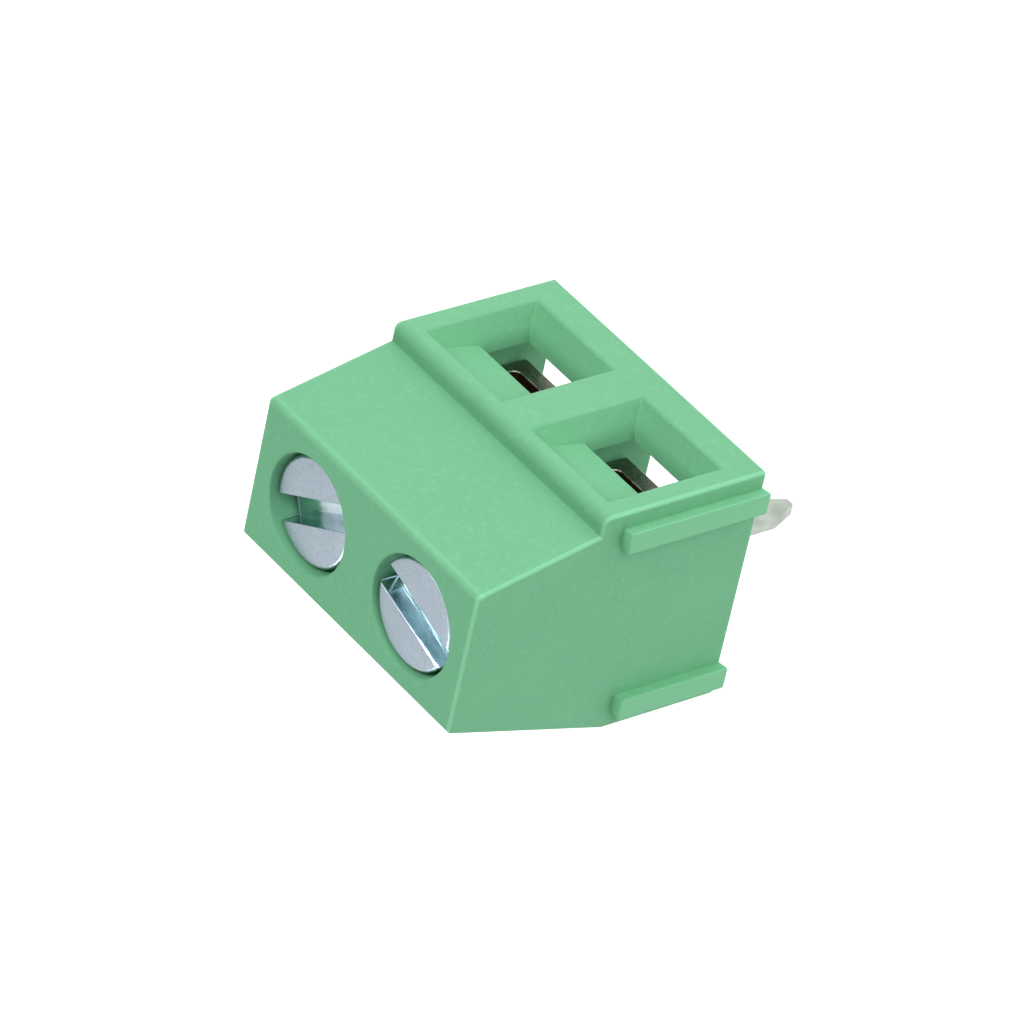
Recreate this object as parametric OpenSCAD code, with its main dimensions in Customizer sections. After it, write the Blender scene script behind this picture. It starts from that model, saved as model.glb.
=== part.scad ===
// Two-pole screw terminal for a printed circuit board, of the rising cage kind.
// The clamping screw turns on the spot and draws a metal cage upwards, so that a wire
// pushed in at the front is pressed against the fixed contact strip.
// Frame: +Z up, wires enter from -Y, the joining ribs are on the -X end.
// The origin is the middle of the underside, on the screws' own plane.

/* [Housing] */
// Distance between the two poles
pitch = 5; // [4.8:0.1:5.4]
// Depth from the wire face to the back wall
body_d = 7.8; // [7.4:0.1:8.6]
// Height of the screw face above the board
body_h = 9.75; // [9.6:0.05:10.4]
// Height of the shelf above the wire entries
shelf_h = 5.7; // [5.5:0.05:6]
// Depth of the shelf
shelf_d = 0.62; // [0.5:0.02:0.8]
// Radius along the front of the shelf
shelf_r = 0.35; // [0.1:0.05:0.5]
// Y of the screw face's front edge
face_front = -2.39; // [-2.6:0.01:-2.2]
// Y of the screw face's back edge
face_back = 2.31; // [2.1:0.01:2.6]
// Height of the upright part of the back wall
back_h = 4; // [3.9:0.1:5]

/* [Wire entry] */
// Width of the mouth
mouth_w = 3.66; // [3.2:0.02:3.8]
// Height of the mouth's lower lip above the board
mouth_z = 1.1; // [0.9:0.05:1.3]
// Height of the mouth's upper lip above the board
mouth_top = 5.1; // [4.9:0.05:5.2]
// How far in the funnel narrows to the throat
funnel_d = 0.8; // [0.6:0.05:0.95]
// Width of the throat
throat_w = 2.86; // [2.4:0.02:3.1]
// Height of the throat's floor above the board
throat_z = 1.47; // [1.3:0.01:1.6]
// Height of the throat's ceiling above the board
throat_top = 3.28; // [3:0.01:3.4]

/* [Screw seat] */
// Diameter of the round seat that the head sinks in
seat_dia = 3.54; // [3.45:0.01:3.7]
// Depth of the seat, from the screw face down to its shoulder
seat_d = 1.85; // [1.8:0.01:1.95]
// Diameter of the hole in the web under the head
web_hole_dia = 3.2; // [3.1:0.05:3.3]

/* [Joining ribs] */
// How far each rib stands out of the end wall
rib_out = 0.39; // [0.3:0.01:0.4]
// Width of a rib at its outer face
rib_w = 0.72; // [0.6:0.02:0.76]
// Width of a rib at the wall
rib_root = 0.6; // [0.4:0.02:0.6]
// Room between a rib and the groove that takes it
rib_play = 0.03; // [0.02:0.01:0.04]

/* [Clamping screw] */
// Diameter of the head
head_dia = 3.3; // [3.1:0.05:3.4]
// Height of the head
head_h = 1.5; // [1.4:0.05:1.5]
// Depth of each head's face below the screw face, left and right
head_sink = [0.13, 0.24]; // [0.05:0.01:0.28]
// Outer diameter of the thread
thread_dia = 2.9; // [2.8:0.05:2.95]
// Width of the driver slot
slot_w = 0.82; // [0.6:0.02:1]
// Depth of the driver slot
slot_d = 0.65; // [0.5:0.05:0.9]
// Direction of each slot from the row of poles in degrees, left and right
slot_turn = [-16.5, 28]; // [-90:0.5:90]

/* [Cage] */
// Width of the cage along the row of poles
cage_w = 3.96; // [3.8:0.02:4]
// Length of the cage along the wire
cage_l = 3.3; // [3:0.05:3.4]
// Thickness of the cage's side walls
cage_side = 0.35; // [0.3:0.01:0.4]
// Thickness of the cage's floor
cage_floor = 0.58; // [0.5:0.02:0.6]
// Thickness of the cage's threaded top
cage_top = 1.3; // [1.2:0.05:1.3]
// Height of the cage's window
window_h = 2.65; // [2.6:0.01:2.66]
// Height of each cage's underside above the board, left and right
cage_z = [1.02, 0.87]; // [0.72:0.01:1.2]

/* [Contact strip] */
// Thickness of the sheet that the strip and its solder pin are folded from
sheet = 0.4; // [0.3:0.05:0.4]
// Width of the clamping bar
bar_w = 2.6; // [2:0.1:2.8]
// Height of the clamping bar's underside above the board
bar_z = 3.5; // [3.45:0.01:3.5]
// Height of the lower leg's underside above the board
leg_z = 0.3; // [0.2:0.02:0.3]
// Y of the solder pin's front face
pin_front = -0.05; // [-0.2:0.01:0.1]
// Width of the solder pin
pin_w = 1; // [0.8:0.05:1.1]
// Length of the solder pin below the board face
pin_l = 3.83; // [3.2:0.01:4.2]
// Length of the pin's pointed end
point_l = 0.88; // [0.6:0.02:1]
// Width of the pin's blunt tip
tip_w = 0.26; // [0.2:0.02:0.4]

/* [Hidden] */
POLES = 2;
eps = 0.01;

green = [0.40, 0.72, 0.52];
zinc = [0.72, 0.75, 0.78];
nickel = [0.62, 0.62, 0.58];
tin = [0.75, 0.75, 0.76];

// Housing
body_w = POLES * pitch;
front = -body_d / 2;
back = body_d / 2;
front_wall = 1.15;
web = 0.4;
lead_in = 0.06;
seat_z = body_h - seat_d;

// The funnel's upper wall stands nearly upright: its depth in, and the height it ends at
funnel_wall_d = 0.56;
funnel_wall_top = 4.75;

// Chamber under each screw, with room for the cage to slide at its sides and ends
cage_play = [0.1, 0.2];
chamber_w = cage_w + 2 * cage_play.x;
chamber_front = front + front_wall;
chamber_back = 2.4;
chamber_corner = 0.35;
ledge_z = bar_z + sheet;
guide_l = cage_l + 2 * cage_play.y;
guide_top = seat_z - web;

// Ribs on the -X end, as [y of the middle, height of the upper end], and how much
// longer the groove for each one is
RIBS = [[-3.065, 4.93], [3.08, 3.81]];
groove_extra = 0.12;

// Screw and cage: the shank ends just above the clamping bar when the screw is lowest
tip_gap = 0.05;
shank_l = body_h - max(head_sink) - head_h - ledge_z - tip_gap;
head_edge = 0.07;
point_taper = 0.25;
thread_play = 0.05;
cage_outer_r = 0.08;
cage_inner_r = 0.25;

// Contact strip, seen from the side
bend_in = 0.2;
bend_out = bend_in + sheet;
riser_back = chamber_back;
riser_front = riser_back - sheet;
bar_front = chamber_front + 0.1;
wing_z = 2;
wing_h = 1;

function pole_x(i) = (i - (POLES - 1) / 2) * pitch;

// Extrudes a side outline, drawn as [y, z], by w along the row of poles, about x = 0
module along_row(w) {
    rotate([90, 0, 90]) linear_extrude(w, center = true) children();
}

// Extrudes a front outline, drawn as [x, z], from y to y + l
module along_wire(y, l) {
    translate([0, y + l, 0]) rotate([90, 0, 0]) linear_extrude(l) children();
}

module rounded_rect(w, h, r) {
    translate([-w / 2 + r, 0]) square([w - 2 * r, h]);
    translate([-w / 2, r]) square([w, h - 2 * r]);
    for (x = [-w / 2 + r, w / 2 - r], y = [r, h - r])
        translate([x, y]) circle(r, $fn = 32);
}

// ---- Housing ----

module housing_outline() {
    difference() {
        polygon([[front, 0], [front, shelf_h], [front + shelf_d, shelf_h],
                 [face_front, body_h], [face_back, body_h], [back, back_h], [back, 0]]);
        translate([front - eps, shelf_h - shelf_r]) square(shelf_r + eps);
    }
    translate([front + shelf_r, shelf_h - shelf_r]) circle(shelf_r, $fn = 48);
}

// The wire way: a funnel whose sides and floor slope in to a plain throat
module wire_way() {
    intersection() {
        along_row(mouth_w + 1) polygon([
            [front - eps, mouth_z], [front, mouth_z], [front + funnel_d, throat_z],
            [chamber_front + eps, throat_z], [chamber_front + eps, throat_top],
            [front + funnel_d, throat_top], [front + funnel_wall_d, funnel_wall_top],
            [front, mouth_top], [front - eps, mouth_top]]);
        linear_extrude(body_h) polygon([
            [-mouth_w / 2, front - eps], [-mouth_w / 2, front],
            [-throat_w / 2, front + funnel_d], [-throat_w / 2, chamber_front + eps],
            [throat_w / 2, chamber_front + eps], [throat_w / 2, front + funnel_d],
            [mouth_w / 2, front], [mouth_w / 2, front - eps]]);
    }
}

// Open at the board, with a ledge that the contact strip seats under and a guide above
// it that keeps the cage from turning with the screw
module chamber() {
    w = chamber_w / 2;
    c = chamber_corner;
    translate([0, 0, -eps]) linear_extrude(ledge_z + eps) polygon([
        [-w, chamber_back], [-w, chamber_front + c], [-w + c, chamber_front],
        [w - c, chamber_front], [w, chamber_front + c], [w, chamber_back]]);
    translate([-w, -guide_l / 2, 0]) cube([chamber_w, guide_l, guide_top]);
}

module screw_seat() {
    translate([0, 0, seat_z]) cylinder(body_h, d = seat_dia, $fn = 96);
    translate([0, 0, guide_top - eps]) cylinder(2 * web, d = web_hole_dia, $fn = 96);
    translate([0, 0, body_h - lead_in])
        cylinder(2 * lead_in, d1 = seat_dia, d2 = seat_dia + 4 * lead_in, $fn = 96);
}

// A dovetail, wider at its far edge, drawn from the wall towards -X
module dovetail(grow) {
    polygon([[0, -rib_root / 2 - grow], [-rib_out - grow, -rib_w / 2 - grow],
             [-rib_out - grow, rib_w / 2 + grow], [0, rib_root / 2 + grow]]);
}

module rib(r) {
    translate([-body_w / 2, r[0], 0]) linear_extrude(r[1]) dovetail(0);
}

module groove(r) {
    translate([body_w / 2, r[0], -eps]) linear_extrude(r[1] + groove_extra + eps) {
        dovetail(rib_play);
        translate([0, -rib_root / 2 - rib_play]) square([eps, rib_root + 2 * rib_play]);
    }
}

module housing() {
    color(green) {
        difference() {
            along_row(body_w) housing_outline();
            for (i = [0 : POLES - 1]) translate([pole_x(i), 0, 0]) {
                wire_way();
                chamber();
                screw_seat();
            }
            for (r = RIBS) groove(r);
        }
        for (r = RIBS) rib(r);
    }
}

// ---- Clamping screws ----

module screw(i) {
    top = body_h - head_sink[i];
    color(zinc) translate([pole_x(i), 0, top]) difference() {
        rotate_extrude($fn = 96) polygon([
            [0, 0], [head_dia / 2 - head_edge, 0], [head_dia / 2, -head_edge],
            [head_dia / 2, -head_h + head_edge], [head_dia / 2 - head_edge, -head_h],
            [thread_dia / 2, -head_h], [thread_dia / 2, -head_h - shank_l + point_taper],
            [thread_dia / 2 - point_taper, -head_h - shank_l], [0, -head_h - shank_l]]);
        rotate([0, 0, slot_turn[i]])
            translate([-head_dia, -slot_w / 2, -slot_d]) cube([2 * head_dia, slot_w, head_h]);
    }
}

// ---- Cages ----

module cage(i) {
    h = cage_floor + window_h + cage_top;
    window_w = cage_w - 2 * cage_side;
    color(nickel) translate([pole_x(i), 0, cage_z[i]]) difference() {
        along_wire(-cage_l / 2, cage_l) difference() {
            rounded_rect(cage_w, h, cage_outer_r);
            translate([0, cage_floor]) rounded_rect(window_w, window_h, cage_inner_r);
        }
        translate([0, 0, cage_floor + window_h / 2])
            cylinder(h, d = thread_dia + 2 * thread_play, $fn = 96);
    }
}

// ---- Contact strips ----

// A quarter bend of the sheet about the origin: its outside faces +Y +Z, then is turned
// on by that many quarter turns
module bend(quarters) {
    rotate(90 * quarters) intersection() {
        difference() {
            circle(bend_out, $fn = 48);
            circle(bend_in, $fn = 48);
        }
        square(2 * bend_out);
    }
}

module strip_bar() {
    translate([bar_front, bar_z]) square([riser_back - bend_out - bar_front, sheet]);
    translate([riser_back - bend_out, bar_z + sheet - bend_out]) bend(0);
}

module strip_riser() {
    z = leg_z + bend_out;
    translate([riser_front, z]) square([sheet, bar_z + sheet - bend_out - z]);
}

module strip_leg() {
    translate([riser_back - bend_out, leg_z + bend_out]) bend(-1);
    translate([pin_front + bend_out, leg_z])
        square([riser_back - 2 * bend_out - pin_front, sheet]);
    translate([pin_front + bend_out, leg_z + sheet - bend_out]) bend(1);
}

// The wings reach the chamber's side walls and hold the strip by the riser
module strip_wings() {
    translate([-chamber_w / 2, riser_front, wing_z]) cube([chamber_w, sheet, wing_h]);
}

module solder_pin() {
    top = leg_z - bend_in;
    along_wire(pin_front, sheet) polygon([
        [-pin_w / 2, top], [-pin_w / 2, -pin_l + point_l], [-tip_w / 2, -pin_l],
        [tip_w / 2, -pin_l], [pin_w / 2, -pin_l + point_l], [pin_w / 2, top]]);
}

module contact(i) {
    color(tin) translate([pole_x(i), 0, 0]) {
        along_row(bar_w) {
            strip_bar();
            strip_riser();
        }
        along_row(pin_w) strip_leg();
        strip_wings();
        solder_pin();
    }
}

housing();
screw(0);  // left_screw
screw(1);  // right_screw
cage(0);  // left_cage
cage(1);  // right_cage
contact(0);  // left_contact
contact(1);  // right_contact
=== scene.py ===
"""A two-pole board terminal with rising cages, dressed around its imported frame."""

import math

import bmesh
import bpy
from mathutils import Matrix, Vector, noise


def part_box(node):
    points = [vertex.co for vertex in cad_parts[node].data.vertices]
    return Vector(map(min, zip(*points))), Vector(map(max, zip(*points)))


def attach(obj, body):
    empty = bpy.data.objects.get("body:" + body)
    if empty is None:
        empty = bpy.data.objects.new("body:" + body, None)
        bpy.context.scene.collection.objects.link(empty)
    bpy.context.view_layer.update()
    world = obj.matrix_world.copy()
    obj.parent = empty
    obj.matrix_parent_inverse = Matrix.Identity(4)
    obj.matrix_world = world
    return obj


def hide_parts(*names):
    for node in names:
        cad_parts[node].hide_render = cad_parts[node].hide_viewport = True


bl_info = {
    "name": "Board terminal",
    "version": (1, 0, 0),
    "blender": (4, 5, 0),
    "location": "3D View > Sidebar > Terminal",
    "description": "Makes the moulding, screws, cages and contacts of a board terminal",
    "category": "Object",
}

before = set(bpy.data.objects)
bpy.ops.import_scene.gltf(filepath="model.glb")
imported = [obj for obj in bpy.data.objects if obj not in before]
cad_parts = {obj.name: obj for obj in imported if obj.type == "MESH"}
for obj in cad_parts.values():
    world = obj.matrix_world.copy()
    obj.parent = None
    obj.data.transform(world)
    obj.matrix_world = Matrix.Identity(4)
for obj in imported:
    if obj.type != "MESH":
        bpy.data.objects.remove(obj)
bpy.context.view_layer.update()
MM = 0.001
POLES = {"left": -2.5 * MM, "right": 2.5 * MM}
ROW_END = POLES["right"] * 2
BODY_LOW, BODY_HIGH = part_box("housing")


# ---- Settings ----

def length(name, description, millimetres):
    """A length property, whose default is given in millimetres."""
    return bpy.props.FloatProperty(name=name, description=description, unit="LENGTH",
                                   subtype="DISTANCE", default=millimetres * MM, precision=5)


def share(name, description, value):
    """A property from 0 to 1."""
    return bpy.props.FloatProperty(name=name, description=description, subtype="FACTOR",
                                   default=value, min=0, max=1)


def tint(name, description, value):
    """A colour property, in linear red, green and blue."""
    return bpy.props.FloatVectorProperty(name=name, description=description, subtype="COLOR",
                                         size=3, default=value, min=0, max=1)


class HousingSettings(bpy.types.PropertyGroup):
    """Sizes and colour of the green moulding."""
    shelf_height: length("Shelf height", "Height of the shelf above the board", 5.7)
    shelf_depth: length("Shelf depth", "Depth of the shelf from the wire face", 0.62)
    shelf_radius: length("Shelf radius", "Rounding along the front of the shelf", 0.35)
    face_front: length("Face front", "Front edge of the screw face", -2.39)
    face_back: length("Face back", "Back edge of the screw face", 2.31)
    back_height: length("Back height", "Height of the upright part of the back", 4)
    edge_radius: length("Edge radius", "Rounding of the outer edges", 0.06)
    end_radius: length("End radius", "Rounding where the ends meet the front and the top", 0.13)
    mouth_width: length("Mouth width", "Width of a wire entry at the face", 3.66)
    mouth_bottom: length("Mouth bottom", "Lower lip of a wire entry", 1.1)
    mouth_top: length("Mouth top", "Upper lip of a wire entry", 5.1)
    throat_width: length("Throat width", "Width of the throat behind the funnel", 2.86)
    throat_bottom: length("Throat bottom", "Floor of the throat", 1.47)
    throat_top: length("Throat top", "Ceiling of the throat", 3.28)
    funnel_depth: length("Funnel depth", "Depth at which the funnel ends", 0.8)
    seat_radius: length("Seat radius", "Radius of the round seat of a screw", 1.77)
    seat_bottom: length("Seat bottom", "Height of the shoulder under the head", 7.9)
    colour: tint("Colour", "Green of the plastic", (0.19, 0.513, 0.287))
    roughness: share("Roughness", "Roughness of the moulded surface", 0.47)


class ScrewSettings(bpy.types.PropertyGroup):
    """Sizes and colour of the clamping screws."""
    head_radius: length("Head radius", "Radius of the head", 1.65)
    head_height: length("Head height", "Height of the head", 1.5)
    edge_radius: length("Edge radius", "Rounding of the head's edge", 0.12)
    slot_width: length("Slot width", "Width of the driver slot", 0.82)
    slot_depth: length("Slot depth", "Depth of the driver slot", 0.65)
    thread_radius: length("Thread radius", "Outer radius of the thread", 1.45)
    thread_depth: length("Thread depth", "Depth of the thread", 0.3)
    thread_pitch: length("Thread pitch", "Rise of the thread in one turn", 0.5)
    colour: tint("Colour", "Bluish zinc plate", (0.375, 0.445, 0.506))


class MetalSettings(bpy.types.PropertyGroup):
    """Sizes and colours of the cages and contact strips."""
    cage_edge: length("Cage edge", "Rounding of the cages' edges", 0.05)
    strip_edge: length("Strip edge", "Rounding of the strips' edges", 0.035)
    nickel: tint("Cage colour", "Nickel plate of the cages", (0.5, 0.48, 0.42))
    inside: tint("Window colour", "Bare metal inside the cages", (0.3, 0.2, 0.13))
    tin: tint("Strip colour", "Tin plate of the contact strips", (0.5, 0.53, 0.49))


class StageSettings(bpy.types.PropertyGroup):
    """Light, floor and camera."""
    key: bpy.props.FloatProperty(name="Key", description="Power of the lamp above the wire face",
                                 unit="POWER", default=0.535)
    back: bpy.props.FloatProperty(name="Back", description="Power of the lamp above the back",
                                  unit="POWER", default=0.44)
    side: bpy.props.FloatProperty(name="Side", description="Power of the low lamp by the ribs",
                                  unit="POWER", default=0.355)
    sky: share("Sky", "Strength of the light all round", 0.06)
    glow: share("Glow", "Strength of the light from the floor", 0.52)
    lens: bpy.props.FloatProperty(name="Lens", description="Focal length in millimetres",
                                  default=273)
    floor_drop: length("Floor", "Depth of the floor below the board face", 3.83)


# ---- Nodes ----

class Value:
    """A number in a node tree. Python's operators on it add Math nodes."""

    def __init__(self, net, socket):
        self.net = net
        self.socket = socket

    def math(self, operation, *others):
        """A Math node with this number first."""
        return self.net.node("ShaderNodeMath", {"operation": operation},
                             dict(enumerate((self,) + others)))

    def reflected(self, operation, other):
        """A Math node with this number second."""
        return self.net.node("ShaderNodeMath", {"operation": operation}, {0: other, 1: self})

    def __add__(self, other):
        return self.math("ADD", other)

    __radd__ = __add__

    def __sub__(self, other):
        return self.math("SUBTRACT", other)

    def __rsub__(self, other):
        return self.reflected("SUBTRACT", other)

    def __mul__(self, other):
        return self.math("MULTIPLY", other)

    __rmul__ = __mul__

    def __truediv__(self, other):
        return self.math("DIVIDE", other)

    def __pow__(self, other):
        return self.math("POWER", other)

    def band(self, low, high):
        """0 below low and 1 above high, with a smooth step between them."""
        return self.net.node("ShaderNodeMapRange", {"interpolation_type": "SMOOTHSTEP"},
                             {"Value": self, "From Min": low, "From Max": high})


class Net:
    """Adds nodes to a shader or geometry tree."""

    def __init__(self, tree):
        self.tree = tree

    def node(self, kind, settings=None, sockets=None, output=0):
        """Adds a node: its settings first, then the values or links of its sockets."""
        made = self.tree.nodes.new(kind)
        for key, value in (settings or {}).items():
            setattr(made, key, value)
        for key, value in (sockets or {}).items():
            socket = made.inputs[key]
            if isinstance(value, Value):
                self.tree.links.new(value.socket, socket)
            else:
                socket.default_value = value
        return Value(self, made.outputs[output]) if len(made.outputs) else made

    def split(self, vector, axes="XYZ"):
        """The named parts of a vector."""
        return tuple(self.node("ShaderNodeSeparateXYZ", None, {0: vector}, output=axis)
                     for axis in axes)

    def mix(self, factor, first, second):
        """A colour between two others."""
        first, second = (c if isinstance(c, Value) else (*c, 1) for c in (first, second))
        return self.node("ShaderNodeMix", {"data_type": "RGBA"},
                         {0: factor, 6: first, 7: second}, output=2)

    def noise(self, place, scale, detail=3, roughness=0.5, stretch=(1, 1, 1)):
        """Noise whose scale is in cells per millimetre."""
        scaled = self.node("ShaderNodeVectorMath", {"operation": "MULTIPLY"},
                           {0: place, 1: [1 / MM * s for s in stretch]})
        return self.node("ShaderNodeTexNoise", {"noise_dimensions": "3D"},
                         {"Vector": scaled, "Scale": scale, "Detail": detail,
                          "Roughness": roughness})


def new_material(name):
    """A material with an empty tree, its net and its object coordinates."""
    material = bpy.data.materials.new(name)
    material.use_nodes = True
    material.node_tree.nodes.clear()
    net = Net(material.node_tree)
    place = net.node("ShaderNodeTexCoord", output="Object")
    return material, net, place


def surface(net, fixed, varying, bump=None, reach=0.0):
    """The principled surface: fixed numbers on its sockets, varying ones linked."""
    sockets = {**fixed, **varying}
    if bump is not None:
        sockets["Normal"] = net.node("ShaderNodeBump", None, {"Height": bump, "Distance": reach,
                                                              "Strength": 1.0})
    shader = net.node("ShaderNodeBsdfPrincipled", None, sockets)
    net.node("ShaderNodeOutputMaterial", None, {"Surface": shader})


def shade(colour, factor, lift=0.0):
    """A paler or darker tone of a colour."""
    return tuple(min(1, part * factor + lift) for part in colour)


def ejector_mark(y, z, across, up):
    """1 on a faint ring left in the moulding, round a place given in millimetres."""
    out = (((y - across * MM) / MM) ** 2 + ((z - up * MM) / MM) ** 2) ** 0.5
    return 1 - (out - 0.2).math("ABSOLUTE").band(0.02, 0.05)


def scored_line(y, z, start, end):
    """1 on a thin straight line between two places given in millimetres."""
    across, up = end[0] - start[0], end[1] - start[1]
    size = math.hypot(across, up)
    along = ((y / MM - start[0]) * across + (z / MM - start[1]) * up) / size
    off = ((y / MM - start[0]) * up - (z / MM - start[1]) * across) / size
    inside = along.band(-0.05, 0.02) * (1 - along.band(size - 0.02, size + 0.05))
    return inside * (1 - off.math("ABSOLUTE").band(0.01, 0.04))


def moulded_plastic(settings):
    """Satin green nylon with a fine eroded grain and faint flow clouds, and painted highlights
    along the end edges and the brow.
    """
    material, net, place = new_material("green_nylon")
    x, y, z = net.split(place)
    # The outer faces of the ribs, beyond the end wall, are paler than the end wall.
    proud_faces = 1 - x.band(-5.37 * MM, -5.3 * MM)
    reach = x.math("ABSOLUTE")
    # Painted highlight: a pale band just inside each end, along the rounded edges round the end
    # faces.
    corner = reach.band(4.87 * MM, 4.9 * MM) * (1 - reach.band(4.975 * MM, 4.998 * MM))
    # Painted highlight: a pale band along the rounded edge where the slope meets the screw face.
    brow_highlight = y.band(-2.48 * MM, -2.42 * MM) * (1 - y.band(-2.32 * MM, -2.2 * MM))
    brow_highlight = brow_highlight * z.band(9.4 * MM, 9.6 * MM)
    on_end = 1 - x.band(-4.999 * MM, -4.99 * MM)
    marks = (ejector_mark(y, z, -2.037, 7.657) + ejector_mark(y, z, 2.006, 7.648)
             + scored_line(y, z, (-0.952, 4.85), (-0.375, 3.863))
             + scored_line(y, z, (-0.375, 3.863), (1.984, 3.754))
             + scored_line(y, z, (-1.331, 4.836), (-1.172, 0.305))) * on_end
    clouds = net.noise(place, 0.55, detail=4, roughness=0.55)
    flecks = net.noise(place, 5.0, detail=2)
    grain = net.noise(place, 16.0, detail=3, roughness=0.6)
    base = tuple(settings.colour)
    pale = shade(base, 1.05, 0.012)
    deep = shade(base, 0.965)
    proud_tone = shade(base, 1.12, 0.015)
    # The tone of the painted highlights along the rounded edges.
    edge = shade(base, 1.3, 0.03)
    colour = net.mix(clouds.band(0.2, 0.8), deep, base)
    colour = net.mix(flecks.band(0.5, 0.75) * 0.7, colour, pale)
    colour = net.mix(proud_faces, colour, proud_tone)
    # Paints the highlights on the end edges and on the brow.
    colour = net.mix(corner * 0.6 + brow_highlight * 0.25, colour, edge)
    colour = net.mix(marks * 0.4, colour, deep)
    surface(net, {"IOR": 1.5, "Specular IOR Level": 0.08},
            {"Base Color": colour,
             "Roughness": settings.roughness + (clouds - 0.5) * 0.12 + (grain - 0.5) * 0.1},
            grain * 0.7 + flecks * 0.3 - marks * 0.6, 0.012 * MM)
    return material


def zinc_plate(name, settings, centre, top, direction):
    """Bluish zinc plate: evenly dulled with fine pits outside, bright in the milled slot."""
    material, net, place = new_material(name)
    turned = net.node("ShaderNodeVectorRotate", {"rotation_type": "Z_AXIS"},
                      {"Vector": place, "Center": (centre, 0, 0),
                       "Angle": -math.radians(direction)})
    along, height = net.split(turned, "XZ")
    outside = height.band(top - 0.07 * MM, top - 0.04 * MM).math(
        "MAXIMUM", (along - centre).math("ABSOLUTE").band(1.53 * MM, 1.55 * MM))
    cloud = net.noise(place, 1.3, detail=4)
    speckle = net.noise(place, 13.0, detail=3, roughness=0.65)
    pits = net.noise(place, 22.0, detail=2)
    milled = net.noise(turned, 9.0, detail=2, stretch=(0.12, 1, 1))
    smear = net.noise(turned, 1.6, detail=3, stretch=(0.6, 1, 1))
    base = tuple(settings.colour)
    dark = shade(base, 0.86)
    pale = shade(base, 1.08)
    bright = (0.6, 0.74, 0.79)
    stained = (0.4, 0.51, 0.55)
    dull = net.mix(speckle.band(0.35, 0.6), dark, base)
    dull = net.mix(cloud.band(0.45, 0.75) * 0.4, dull, pale)
    polished = net.mix(smear.band(0.35, 0.65), stained, bright)
    surface(net, {"Metallic": 1.0},
            {"Base Color": net.mix(outside, polished, dull),
             "Roughness": outside * (0.22 + (speckle - 0.5) * 0.2) + 0.14 + (smear - 0.5) * 0.08},
            outside * (speckle * 0.6 + pits * 0.4) + (1 - outside) * milled, 0.005 * MM)
    return material


def cage_metal(name, settings, centre):
    """Coarse nickel plate with bright specks and painted shade on its end faces, over brown bare
    metal inside the window.
    """
    material, net, place = new_material(name)
    x, y = net.split(place, "XY")
    inner = 1 - (x - centre).math("ABSOLUTE").band(1.62 * MM, 1.65 * MM)
    inner = inner * (1 - y.math("ABSOLUTE").band(1.58 * MM, 1.61 * MM))
    # Painted shade: both end faces of the cage are darkened, as they sit in the shaded throat.
    face = y.math("ABSOLUTE").band(1.642 * MM, 1.648 * MM)
    grain = net.noise(place, 7.0, detail=3, roughness=0.6)
    speck = net.noise(place, 13.0, detail=2)
    plate = tuple(settings.nickel)
    dark = shade(plate, 0.6)
    pale = shade(plate, 1.5)
    painted_shade_tone = (0.06, 0.07, 0.05)
    colour = net.mix(grain.band(0.3, 0.7), dark, plate)
    colour = net.mix(speck.band(0.62, 0.7), colour, pale)
    colour = net.mix(face * 0.62, colour, painted_shade_tone)
    colour = net.mix(inner, colour, tuple(settings.inside))
    surface(net, {"Metallic": 1.0},
            {"Base Color": colour, "Roughness": 0.36 + (grain - 0.5) * 0.3},
            grain * 0.6 + speck * 0.4, 0.012 * MM)
    return material


def plated_sheet(name, colour, roughness, streaks):
    """Plated sheet metal with rolling streaks and small stains."""
    material, net, place = new_material(name)
    stain = net.noise(place, 1.4, detail=4)
    streak = net.noise(place, 6.0, detail=2, stretch=streaks)
    base = tuple(colour)
    surface(net, {"Metallic": 1.0},
            {"Base Color": net.mix(stain.band(0.35, 0.65), shade(base, 0.78), base),
             "Roughness": roughness + (streak - 0.5) * 0.2},
            streak, 0.004 * MM)
    return material


# ---- Meshes ----

def mesh_object(name, points, faces):
    """An object in the frame from points in metres, with its faces turned outwards."""
    mesh = bpy.data.meshes.new(name)
    mesh.from_pydata([tuple(p) for p in points], [], faces)
    shape = bmesh.new()
    shape.from_mesh(mesh)
    bmesh.ops.remove_doubles(shape, verts=shape.verts, dist=1e-8)
    bmesh.ops.recalc_face_normals(shape, faces=shape.faces)
    shape.to_mesh(mesh)
    shape.free()
    made = bpy.data.objects.new(name, mesh)
    bpy.context.scene.collection.objects.link(made)
    return made


def loft(name, rings):
    """A closed skin over rings that all have the same number of points."""
    count = len(rings[0])
    faces = [list(range(count)), [count * (len(rings) - 1) + i for i in range(count)]]
    for r in range(len(rings) - 1):
        for i in range(count):
            j = (i + 1) % count
            faces.append([r * count + i, r * count + j, (r + 1) * count + j, (r + 1) * count + i])
    return mesh_object(name, [p for ring in rings for p in ring], faces)


def prism(name, outline, axis, low, high):
    """An outline extruded along an axis. It is drawn as (y, z), (x, z) or (x, y)."""
    def place(p, along):
        return {"X": (along, p[0], p[1]), "Y": (p[0], along, p[1]), "Z": (p[0], p[1], along)}[axis]
    return loft(name, [[place(p, along) for p in outline] for along in (low, high)])


def lathe(name, profile, centre, steps=128):
    """A profile of (radius, height) turned about an upright axis, closed at both ends."""
    rings = []
    for radius, height in profile:
        rings.append([(centre + radius * math.cos(math.tau * i / steps),
                       radius * math.sin(math.tau * i / steps), height) for i in range(steps)])
    return loft(name, rings)


def arc(centre, radius, start, end, steps):
    """Points of an arc, with its angles in degrees."""
    return [(centre[0] + radius * math.cos(math.radians(start + (end - start) * i / steps)),
             centre[1] + radius * math.sin(math.radians(start + (end - start) * i / steps)))
            for i in range(steps + 1)]


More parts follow.
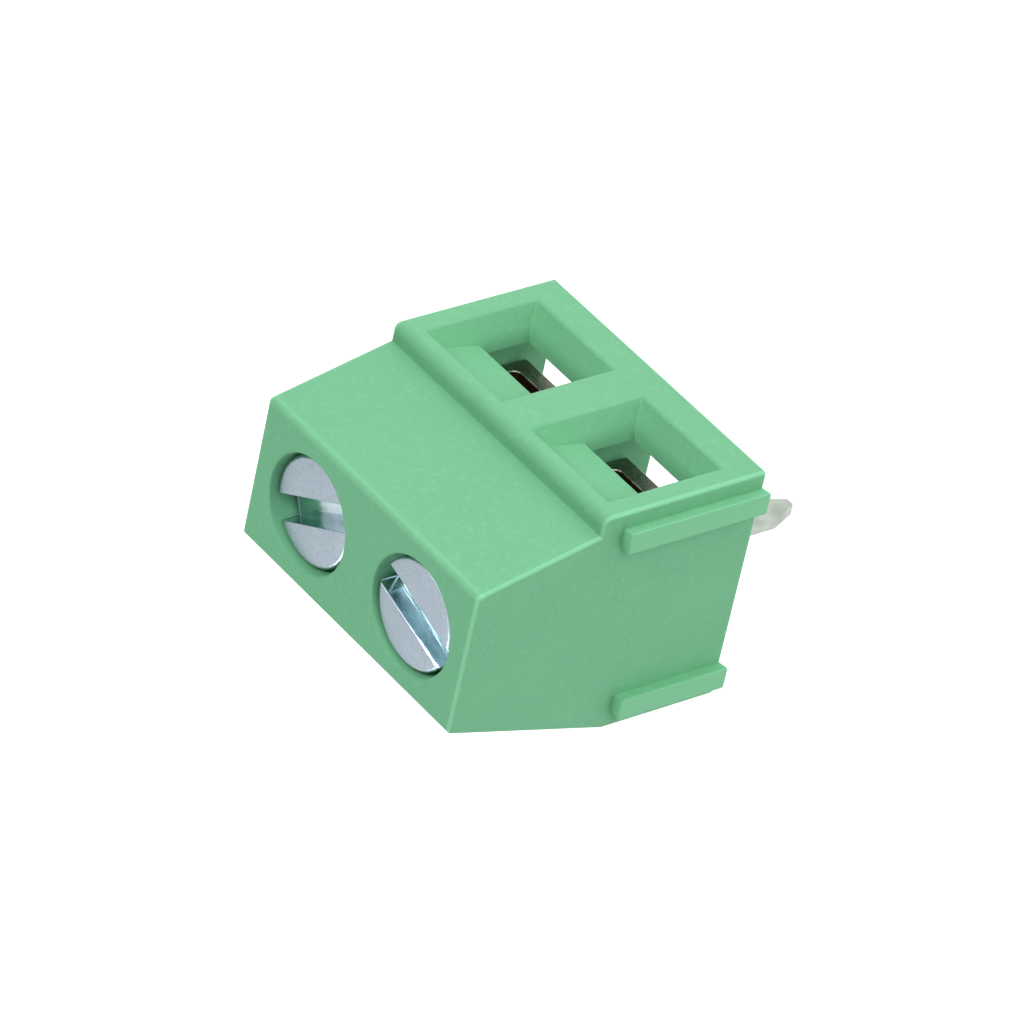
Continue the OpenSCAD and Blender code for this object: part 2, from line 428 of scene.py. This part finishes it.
def rounded_rectangle(x0, x1, z0, z1, radius, steps=4):
    """Points round a rectangle with rounded corners."""
    return (arc((x1 - radius, z0 + radius), radius, -90, 0, steps)
            + arc((x1 - radius, z1 - radius), radius, 0, 90, steps)
            + arc((x0 + radius, z1 - radius), radius, 90, 180, steps)
            + arc((x0 + radius, z0 + radius), radius, 180, 270, steps))


def bake_modifiers(made):
    """Replaces an object's mesh by what its modifiers make of it."""
    depsgraph = bpy.context.evaluated_depsgraph_get()
    result = bpy.data.meshes.new_from_object(made.evaluated_get(depsgraph))
    made.modifiers.clear()
    made.data = result


def boolean(base, tool, operation):
    """Cuts or adds another object, which is then deleted."""
    modifier = base.modifiers.new(operation.lower(), "BOOLEAN")
    modifier.operation = operation
    modifier.solver = "EXACT"
    modifier.object = tool
    bake_modifiers(base)
    bpy.data.objects.remove(tool)


def round_edges(made, width, angle=40, segments=3):
    """Rounds every edge that turns by more than an angle."""
    modifier = made.modifiers.new("round", "BEVEL")
    modifier.width = width
    modifier.segments = segments
    modifier.limit_method = "ANGLE"
    modifier.angle_limit = math.radians(angle)
    modifier.use_clamp_overlap = False
    bake_modifiers(made)


def smooth_faces(made, angle=35):
    """Shades curved faces smoothly and keeps flat ones flat."""
    mesh = made.data
    mesh.polygons.foreach_set("use_smooth", [True] * len(mesh.polygons))
    mesh.set_sharp_from_angle(angle=math.radians(angle))
    modifier = made.modifiers.new("weighted", "WEIGHTED_NORMAL")
    modifier.keep_sharp = True
    bake_modifiers(made)


def tidy_mesh(made):
    """Merges what a cut left doubled."""
    shape = bmesh.new()
    shape.from_mesh(made.data)
    bmesh.ops.remove_doubles(shape, verts=shape.verts, dist=1e-7)
    bmesh.ops.dissolve_degenerate(shape, edges=shape.edges, dist=1e-7)
    shape.to_mesh(made.data)
    shape.free()


def dress(made, material, body, nodes):
    """Gives a finished piece its material, its body and the nodes that it stands for."""
    made.data.materials.clear()
    made.data.materials.append(material)
    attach(made, body)
    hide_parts(*nodes)


# ---- Housing ----

def rounded_prism(settings):
    """The moulding's side outline along the whole row, with every outer edge rounded."""
    front, back = BODY_LOW.y, BODY_HIGH.y
    top = BODY_HIGH.z
    edge = settings.edge_radius
    outline = [((front, 0), edge), ((front, settings.shelf_height), settings.shelf_radius),
               ((front + settings.shelf_depth, settings.shelf_height), 0.3 * edge),
               ((settings.face_front, top), 0.17 * MM), ((settings.face_back, top), 2 * edge),
               ((back, settings.back_height), 2 * edge), ((back, 0), edge)]
    made = prism("housing_skin", [p for p, _ in outline], "X", -ROW_END, ROW_END)
    radii = dict(outline)
    widest = max(radii.values())
    shape = bmesh.new()
    shape.from_mesh(made.data)
    weights = shape.edges.layers.float.new("bevel_weight_edge")
    for e in shape.edges:
        a, b = (v.co for v in e.verts)
        radius = edge if max(a.z, b.z) < MM or min(a.y, b.y) > 2 * MM else settings.end_radius
        if abs(a.x - b.x) > MM:
            turn = e.calc_face_angle()
            corner = min(radii, key=lambda p: (p[0] - a.y) ** 2 + (p[1] - a.z) ** 2)
            radius = radii[corner] * math.tan(turn / 2)
        e[weights] = radius / widest
    shape.to_mesh(made.data)
    shape.free()
    modifier = made.modifiers.new("round", "BEVEL")
    modifier.width = widest
    modifier.segments = 6
    modifier.limit_method = "WEIGHT"
    bake_modifiers(made)
    return made


def wire_way(settings, centre):
    """The funnel and throat of a wire entry, with a rounded lip at the face."""
    front = BODY_LOW.y
    lip, corner = 0.08 * MM, 0.03 * MM
    wall_depth, wall_top = 0.56 * MM, 4.75 * MM
    deep, throat_end = settings.funnel_depth, 1.3 * MM

    def ceiling(depth):
        if depth <= wall_depth:
            return settings.mouth_top + (wall_top - settings.mouth_top) * depth / wall_depth
        part = min(1, (depth - wall_depth) / (deep - wall_depth))
        return wall_top + (settings.throat_top - wall_top) * part

    def ring(depth, grow):
        part = min(1, max(0, depth / deep))
        half = (settings.mouth_width + (settings.throat_width - settings.mouth_width) * part) / 2
        floor = settings.mouth_bottom + (settings.throat_bottom - settings.mouth_bottom) * part
        outline = rounded_rectangle(centre - half - grow, centre + half + grow, floor - grow,
                                    ceiling(max(0, depth)) + grow, corner + grow)
        return [(x, front + depth, z) for x, z in outline]

    rings = [ring(-0.4 * lip, 1.4 * lip)]
    for step in range(6):
        angle = math.radians(90 * step / 5)
        rings.append(ring(lip * (1 - math.cos(angle)), lip * (1 - math.sin(angle))))
    rings += [ring(wall_depth, 0), ring(deep, 0), ring(throat_end, 0)]
    return loft("wire_way", rings)


def chamber(centre):
    """The space under a screw: wide and open at the board, narrow where the cage slides."""
    half, front, back, corner = 2.08 * MM, -2.75 * MM, 2.4 * MM, 0.35 * MM
    outline = [(centre - half, back), (centre - half, front + corner),
               (centre - half + corner, front), (centre + half - corner, front),
               (centre + half, front + corner), (centre + half, back)]
    low = prism("chamber", outline, "Z", -0.2 * MM, 3.9 * MM)
    guide = [(centre - half, -1.85 * MM), (centre + half, -1.85 * MM),
             (centre + half, 1.85 * MM), (centre - half, 1.85 * MM)]
    boolean(low, prism("guide", guide, "Z", MM, 7.5 * MM), "UNION")
    return low


def screw_seat(settings, centre):
    """The hole in the web and the round seat above it, with a rounded rim."""
    radius, bottom, top = settings.seat_radius, settings.seat_bottom, BODY_HIGH.z
    rim, hole, web = 0.08 * MM, 1.6 * MM, 0.8 * MM
    profile = [(0, bottom - web), (hole, bottom - web), (hole, bottom), (radius, bottom)]
    profile += [(radius + rim - rim * math.cos(a), top - rim + rim * math.sin(a))
                for a in (math.radians(15 * k) for k in range(6))]
    profile += [(radius + 1.3 * rim, top + 0.3 * rim), (0, top + 0.3 * rim)]
    return lathe("screw_seat", profile, centre)


# Where each rib stands across the row, and the height of its top.
RIBS = ((-3.065 * MM, 4.93 * MM), (3.08 * MM, 3.81 * MM))


def dovetail(name, side, place, top, grow):
    """A rib on the left end or, grown by its play, the tool for a groove in the right end."""
    wall = side * ROW_END
    reach, wide, root, inside = 0.39 * MM, 0.36 * MM, 0.3 * MM, 0.1 * MM
    if side < 0:
        outline = [(wall + inside, -root), (wall, -root), (wall - reach, -wide),
                   (wall - reach, wide), (wall, root), (wall + inside, root)]
        low = 0
    else:
        outline = [(wall + inside, -root - grow), (wall, -root - grow),
                   (wall - reach - grow, -wide - grow), (wall - reach - grow, wide + grow),
                   (wall, root + grow), (wall + inside, root + grow)]
        low = -0.1 * MM
    return prism(name, [(x, place + y) for x, y in outline], "Z", low, top)


class MakeHousing(bpy.types.Operator):
    """Makes the green moulding with its wire entries, screw seats, ribs and grooves"""
    bl_idname = "terminal.make_housing"
    bl_label = "Make housing"

    def execute(self, context):
        settings = context.scene.terminal_housing
        made = rounded_prism(settings)
        for place, top in RIBS:
            rib = dovetail("rib", -1, place, top, 0)
            round_edges(rib, 0.05 * MM, segments=2)
            boolean(made, rib, "UNION")
            boolean(made, dovetail("groove", 1, place, top + 0.12 * MM, 0.03 * MM), "DIFFERENCE")
        for centre in POLES.values():
            boolean(made, chamber(centre), "DIFFERENCE")
            boolean(made, wire_way(settings, centre), "DIFFERENCE")
            boolean(made, screw_seat(settings, centre), "DIFFERENCE")
        tidy_mesh(made)
        smooth_faces(made)
        dress(made, moulded_plastic(settings), "housing", ["housing"])
        return {"FINISHED"}


# ---- Screws ----

# The direction of each driver slot in degrees, and the size of its burr.
SLOTS = {"left": (-16.5, 0.045 * MM), "right": (28, 0.012 * MM)}


def thread_tree():
    """A node tree that makes a threaded rod, standing on the origin."""
    tree = bpy.data.node_groups.new("threaded_rod", "GeometryNodeTree")
    tree.interface.new_socket("Geometry", in_out="OUTPUT", socket_type="NodeSocketGeometry")
    for name, value in (("Radius", 1.45 * MM), ("Depth", 0.3 * MM), ("Pitch", 0.5 * MM),
                        ("Length", 4 * MM), ("Run-out", 0.3 * MM), ("Phase", 0.0)):
        socket = tree.interface.new_socket(name, in_out="INPUT", socket_type="NodeSocketFloat")
        socket.default_value = value
    tree.interface.new_socket("Material", in_out="INPUT", socket_type="NodeSocketMaterial")
    net = Net(tree)
    given = tree.nodes.new("NodeGroupInput")
    size = {name: Value(net, given.outputs[name]) for name in
            ("Radius", "Depth", "Pitch", "Length", "Run-out", "Phase")}
    rod = net.node("GeometryNodeMeshCylinder", None,
                   {"Vertices": 72, "Side Segments": 160, "Radius": size["Radius"],
                    "Depth": size["Length"]})
    place = net.node("GeometryNodeInputPosition")
    x, y, z = net.split(place)
    turn = y.math("ARCTAN2", x) / math.tau
    height = z + size["Length"] * 0.5
    wave = (height / size["Pitch"] - turn + size["Phase"]).math("FRACT")
    flank = (wave * 2 - 1).math("ABSOLUTE")
    groove = flank.band(0.12, 0.88)
    fade = (height / size["Run-out"]).math("MINIMUM", 1)
    fade = fade.math("MINIMUM", (size["Length"] - height) / size["Run-out"]).math("MAXIMUM", 0)
    taper = 1 - fade
    cut = size["Depth"] * (groove * fade + taper * 0.85)
    shrink = 1 - cut / size["Radius"]
    moved = net.node("ShaderNodeCombineXYZ", None, {0: x * shrink, 1: y * shrink, 2: height})
    shaped = net.node("GeometryNodeSetPosition", None, {"Geometry": rod, "Position": moved})
    realized = net.node("GeometryNodeRealizeInstances", None, {"Geometry": shaped})
    painted = net.node("GeometryNodeSetMaterial", None,
                       {"Geometry": realized, "Material": Value(net, given.outputs["Material"])})
    result = tree.nodes.new("NodeGroupOutput")
    tree.links.new(painted.socket, result.inputs[0])
    return tree


def threaded_rod(name, tree, material, low, centre, **sizes):
    """A rod of the tree's thread as a plain mesh, with its lower end at a height."""
    holder = mesh_object(name, [(0, 0, 0)], [])
    modifier = holder.modifiers.new("thread", "NODES")
    modifier.node_group = tree
    given = {item.name: item.identifier for item in tree.interface.items_tree
             if item.in_out == "INPUT"}
    for key, value in sizes.items():
        modifier[given[key.replace("_", "-")]] = value
    modifier[given["Material"]] = material
    bake_modifiers(holder)
    holder.data.transform(Matrix.Translation((centre, 0, low)))
    return holder


def slot_cutter(settings, centre, top, direction, burr):
    """A driver slot with a raised rim at its ends and an uneven burr along one lip."""
    radius, half = settings.head_radius, settings.slot_width / 2
    floor = top - settings.slot_depth
    ridge_place, ridge_width, ridge_height = 1.58 * MM, 0.03 * MM, 0.016 * MM
    rings = []
    steps = 110
    for step in range(-steps, steps + 1):
        along = 1.1 * radius * step / steps
        ridge = ridge_height * max(0, 1 - abs(abs(along) - ridge_place) / ridge_width)
        uneven = noise.noise(Vector((along / MM * 3.1, centre / MM, 0.5)))
        low_end = max(0, min(1, 0.1 - 1.1 * along / radius))
        lips = [0.01 * MM + 0.006 * MM * uneven,
                max(0.006 * MM, burr * (0.12 + 0.88 * low_end) * (1 + 1.4 * uneven))]
        near, far = -half + ridge, half - ridge
        ring = [(near, floor + ridge), (far, floor + ridge), (far, top - lips[1]),
                (far + 2 * lips[1], top + lips[1]), (near - 2 * lips[0], top + lips[0]),
                (near, top - lips[0])]
        rings.append([(along, y, z) for y, z in ring])
    slot = loft("slot", rings)
    slot.data.transform(Matrix.Translation((centre, 0, 0))
                        @ Matrix.Rotation(math.radians(direction), 4, "Z"))
    return slot


def screw_head(settings, name, centre, top, direction, burr):
    """A slotted cheese head."""
    radius, edge, height = settings.head_radius, settings.edge_radius, settings.head_height
    upper = arc((radius - edge, top - edge), edge, 90, 0, 6)
    lower = arc((radius - edge, top - height + edge), edge, 0, -90, 4)
    head = lathe(name, [(0, top)] + upper + lower + [(0, top - height)], centre)
    boolean(head, slot_cutter(settings, centre, top, direction, burr), "DIFFERENCE")
    return head


class MakeScrews(bpy.types.Operator):
    """Makes the slotted clamping screws and their threads"""
    bl_idname = "terminal.make_screws"
    bl_label = "Make screws"

    def execute(self, context):
        settings = context.scene.terminal_screws
        tree = thread_tree()
        for side, (direction, burr) in SLOTS.items():
            low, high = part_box(f"{side}_screw")
            centre = POLES[side]
            material = zinc_plate(f"{side}_zinc_plate", settings, centre, high.z, direction)
            made = screw_head(settings, f"{side}_clamping_screw", centre, high.z, direction, burr)
            under = high.z - settings.head_height
            shank = threaded_rod("shank", tree, material, low.z, centre,
                                 Radius=settings.thread_radius, Depth=settings.thread_depth,
                                 Pitch=settings.thread_pitch, Length=under - low.z + 0.1 * MM,
                                 Phase=low.z / settings.thread_pitch % 1)
            boolean(made, shank, "UNION")
            tidy_mesh(made)
            smooth_faces(made, 40)
            dress(made, material, f"{side}_screw", [f"{side}_screw"])
        return {"FINISHED"}


# ---- Cages and contact strips ----

def rounded_copy(node, name, width):
    """A copy of a frame node with its edges rounded."""
    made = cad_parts[node].copy()
    made.data = made.data.copy()
    made.name = name
    made.parent = None
    for key in list(made.keys()):
        del made[key]
    bpy.context.scene.collection.objects.link(made)
    shape = bmesh.new()
    shape.from_mesh(made.data)
    bmesh.ops.remove_doubles(shape, verts=shape.verts, dist=1e-7)
    bmesh.ops.dissolve_limit(shape, angle_limit=math.radians(1), verts=shape.verts,
                             edges=shape.edges)
    shape.to_mesh(made.data)
    shape.free()
    round_edges(made, width)
    tidy_mesh(made)
    smooth_faces(made)
    return made


def rounded_tube(name, box, corner, edge, side):
    """A bar along the wire with rounded corners. Its end edges curve in (side 1), or out
    beyond its ends (side -1) as the tool for a window."""
    x0, x1, y0, y1, z0, z1 = box
    rings = []
    for end, inward in ((y0, 1), (y1, -1)):
        part = [(-0.4 * edge, 1.4 * edge)] if side < 0 else []
        for step in range(6):
            angle = math.radians(90 * step / 5)
            part.append((edge * (1 - math.cos(angle)), edge * (1 - math.sin(angle))))
        for depth, grow in part[::inward]:
            grow = -side * grow
            outline = rounded_rectangle(x0 - grow, x1 + grow, z0 - grow, z1 + grow,
                                        max(0.01 * MM, corner + grow), steps=8)
            rings.append([(x, end + inward * depth, z) for x, z in outline])
    return loft(name, rings)


def rising_cage(settings, name, side):
    """A frame of thick sheet, with its window along the wire and a hole for the screw."""
    low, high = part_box(f"{side}_cage")
    centre, edge = POLES[side], settings.cage_edge
    wall, floor, roof = 0.35 * MM, 0.58 * MM, 1.3 * MM
    made = rounded_tube(name, (low.x, high.x, low.y, high.y, low.z, high.z),
                        0.08 * MM, edge, 1)
    window = (low.x + wall, high.x - wall, low.y, high.y, low.z + floor, high.z - roof)
    boolean(made, rounded_tube("window", window, 0.25 * MM, edge, -1), "DIFFERENCE")
    radius, lip = 1.5 * MM, 0.06 * MM
    profile = [(0, high.z - roof - MM), (radius, high.z - roof - MM), (radius, high.z - lip),
               (radius + 2 * lip, high.z + lip), (0, high.z + lip)]
    boolean(made, lathe("hole", profile, centre, 96), "DIFFERENCE")
    tidy_mesh(made)
    smooth_faces(made)
    return made


class MakeCages(bpy.types.Operator):
    """Makes the cages that the screws raise"""
    bl_idname = "terminal.make_cages"
    bl_label = "Make cages"

    def execute(self, context):
        settings = context.scene.terminal_metals
        for side in POLES:
            made = rising_cage(settings, f"{side}_rising_cage", side)
            material = cage_metal(f"{side}_cage_metal", settings, POLES[side])
            dress(made, material, f"{side}_cage", [f"{side}_cage"])
        return {"FINISHED"}


class MakeContacts(bpy.types.Operator):
    """Makes the folded contact strips with their solder pins"""
    bl_idname = "terminal.make_contacts"
    bl_label = "Make contacts"

    def execute(self, context):
        settings = context.scene.terminal_metals
        material = plated_sheet("tin_plate", settings.tin, 0.32, (6, 6, 0.6))
        for side in POLES:
            made = rounded_copy(f"{side}_contact", f"{side}_contact_strip", settings.strip_edge)
            dress(made, material, "housing", [f"{side}_contact"])
        return {"FINISHED"}


# ---- Stage ----

def area_light(name, direction, watts):
    """A square lamp that faces the middle of the body from a direction."""
    distance, middle = 0.3, 4 * MM
    data = bpy.data.lights.new(name, "AREA")
    data.shape = "SQUARE"
    data.size = 0.5 * distance
    data.energy = watts
    lamp = bpy.data.objects.new(name, data)
    away = Vector(direction).normalized()
    lamp.location = Vector((0, 0, middle)) + away * distance
    lamp.rotation_euler = away.to_track_quat("Z", "Y").to_euler()
    bpy.context.scene.collection.objects.link(lamp)


def seen_directly(net):
    """1 for the camera and in reflections, 0 for the light that falls on the terminal."""
    path = net.tree.nodes.new("ShaderNodeLightPath")
    camera, glossy, clear = (Value(net, path.outputs[f"Is {kind} Ray"])
                             for kind in ("Camera", "Glossy", "Transmission"))
    return camera.math("MAXIMUM", glossy).math("MAXIMUM", clear)


def floor_material(glow):
    """A white table top, lit from below."""
    material, net, _ = new_material("pale_floor")
    seen = 0.75
    strength = seen_directly(net) * (seen - glow) + glow
    plain = net.node("ShaderNodeBsdfDiffuse", None, {"Color": (0.8, 0.8, 0.8, 1)})
    lit = net.node("ShaderNodeEmission", None, {"Color": (1, 1, 1, 1), "Strength": strength})
    both = net.node("ShaderNodeAddShader", None, {0: plain, 1: lit})
    net.node("ShaderNodeOutputMaterial", None, {"Surface": both})
    return material


class MakeStage(bpy.types.Operator):
    """Sets the floor, the soft light and the camera"""
    bl_idname = "terminal.make_stage"
    bl_label = "Make stage"

    def execute(self, context):
        settings = context.scene.terminal_stage
        scene = context.scene
        reach = 4
        low = -settings.floor_drop
        floor = mesh_object("floor", [(-reach, -reach, low), (reach, -reach, low),
                                      (reach, reach, low), (-reach, reach, low)], [(0, 1, 2, 3)])
        floor.data.materials.append(floor_material(settings.glow))

        world = bpy.data.worlds.new("studio")
        scene.world = world
        world.use_nodes = True
        world.node_tree.nodes.clear()
        net = Net(world.node_tree)
        strength = seen_directly(net) * (1 - settings.sky) + settings.sky
        sky = net.node("ShaderNodeBackground", None,
                       {"Color": (1, 1, 1, 1), "Strength": strength})
        net.node("ShaderNodeOutputWorld", None, {"Surface": sky})

        right = Vector((-0.58666, -0.18057, -0.78945))
        up = Vector((0.55706, -0.79754, -0.23155))
        back = right.cross(up)
        eye = Vector((-127.914, -125.564, 128.115)) * MM
        area_light("key", (0, -1, 1), settings.key)
        area_light("back", (0, 1, 1), settings.back)
        area_light("side", (-1, -1, 0.15), settings.side)

        camera = bpy.data.cameras.new("camera")
        camera.lens = settings.lens
        camera.sensor_width = 36
        camera.clip_start = 0.005
        view = bpy.data.objects.new("camera", camera)
        scene.collection.objects.link(view)
        turn = Matrix((right, up, back)).transposed().to_4x4()
        view.matrix_world = Matrix.Translation(eye) @ turn
        scene.camera = view
        scene.view_settings.view_transform = "Standard"
        return {"FINISHED"}


class TerminalPanel(bpy.types.Panel):
    """Lists the terminal's sizes and the operators that make it"""
    bl_idname = "VIEW3D_PT_terminal"
    bl_label = "Board terminal"
    bl_space_type = "VIEW_3D"
    bl_region_type = "UI"
    bl_category = "Terminal"

    def draw(self, context):
        for operator, settings in PIECES:
            box = self.layout.box()
            group = getattr(context.scene, settings)
            for key in group.__annotations__:
                box.prop(group, key)
            box.operator(operator.bl_idname)


PIECES = ((MakeHousing, "terminal_housing"), (MakeScrews, "terminal_screws"),
          (MakeCages, "terminal_metals"), (MakeContacts, "terminal_metals"),
          (MakeStage, "terminal_stage"))
GROUPS = {"terminal_housing": HousingSettings, "terminal_screws": ScrewSettings,
          "terminal_metals": MetalSettings, "terminal_stage": StageSettings}


def register():
    """Registers the settings, operators and panel."""
    for group in GROUPS.values():
        bpy.utils.register_class(group)
    for name, group in GROUPS.items():
        setattr(bpy.types.Scene, name, bpy.props.PointerProperty(type=group))
    for operator, _ in PIECES:
        bpy.utils.register_class(operator)
    bpy.utils.register_class(TerminalPanel)


def unregister():
    """Undoes what register does."""
    bpy.utils.unregister_class(TerminalPanel)
    for operator, _ in reversed(PIECES):
        bpy.utils.unregister_class(operator)
    for name, group in reversed(GROUPS.items()):
        delattr(bpy.types.Scene, name)
        bpy.utils.unregister_class(group)


def main():
    """Makes the terminal and its stage."""
    register()
    bpy.ops.terminal.make_stage()
    bpy.ops.terminal.make_housing()
    bpy.ops.terminal.make_screws()
    bpy.ops.terminal.make_cages()
    bpy.ops.terminal.make_contacts()


if __name__ == "__main__":
    main()
